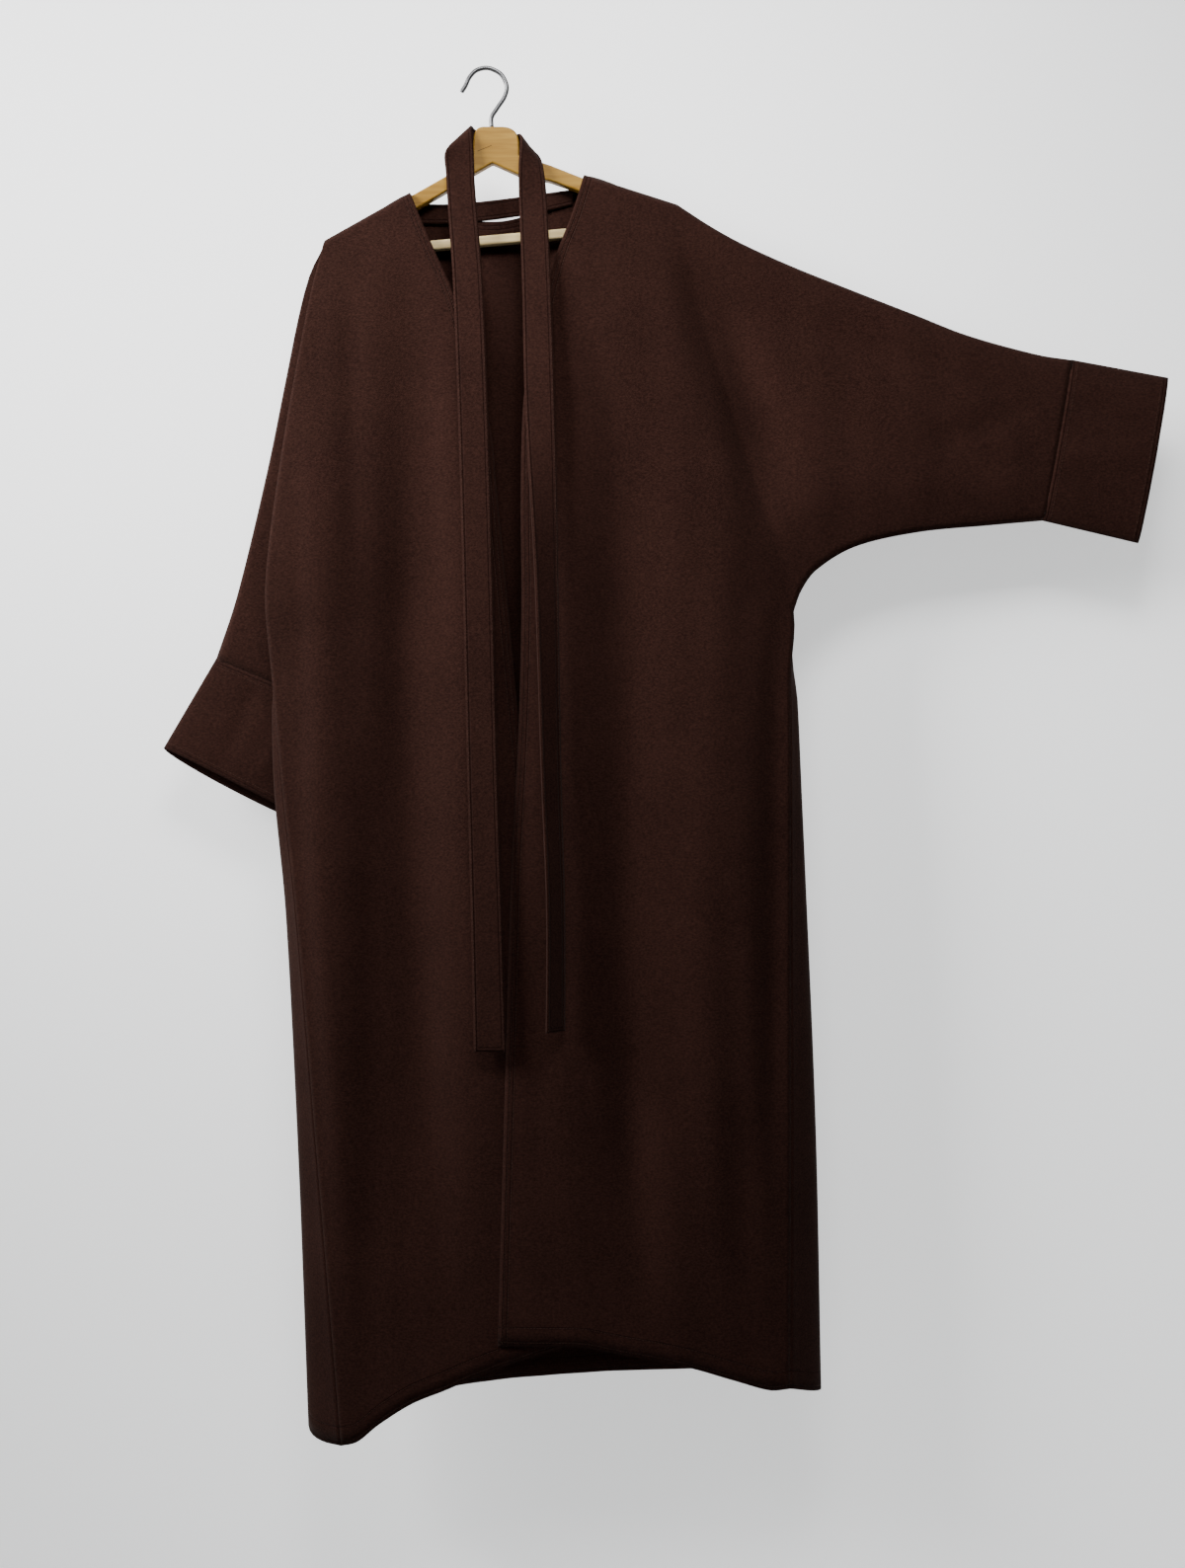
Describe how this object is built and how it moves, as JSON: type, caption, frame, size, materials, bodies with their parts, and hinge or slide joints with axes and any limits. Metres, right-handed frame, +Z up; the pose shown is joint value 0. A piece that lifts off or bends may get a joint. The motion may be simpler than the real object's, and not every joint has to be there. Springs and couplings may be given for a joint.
{
  "type": "open-front abaya coat on a wooden hanger",
  "caption": "Long open-front coat with batwing sleeves, turned-back cuff bands and a loose tie belt, hung on a wooden hanger with a wire hook.",
  "frame": {"origin": "inside top of the hanger's hook, where the hook rests on a rail", "axes": "+Z up, -Y is the front of the coat, +X is the wearer's left"},
  "size_m": [1.1332, 0.1238, 1.5214],
  "materials": {
    "coat_cloth": "matt, finely woven, dark chocolate brown",
    "hanger_wood": "clear satin lacquer on golden wood",
    "bar_wood": "plain pale wood, sanded",
    "hook_wire": "bright plated wire"
  },
  "bodies": {
    "root": {"left_front": "coat_cloth", "right_front": "coat_cloth", "back": "coat_cloth", "left_cuff": "coat_cloth", "right_cuff": "coat_cloth", "neck_strip": "coat_cloth", "belt": "coat_cloth", "hanger_body": "hanger_wood", "hanger_bar": "bar_wood", "hook": "hook_wire"}
  },
  "joints": []
}
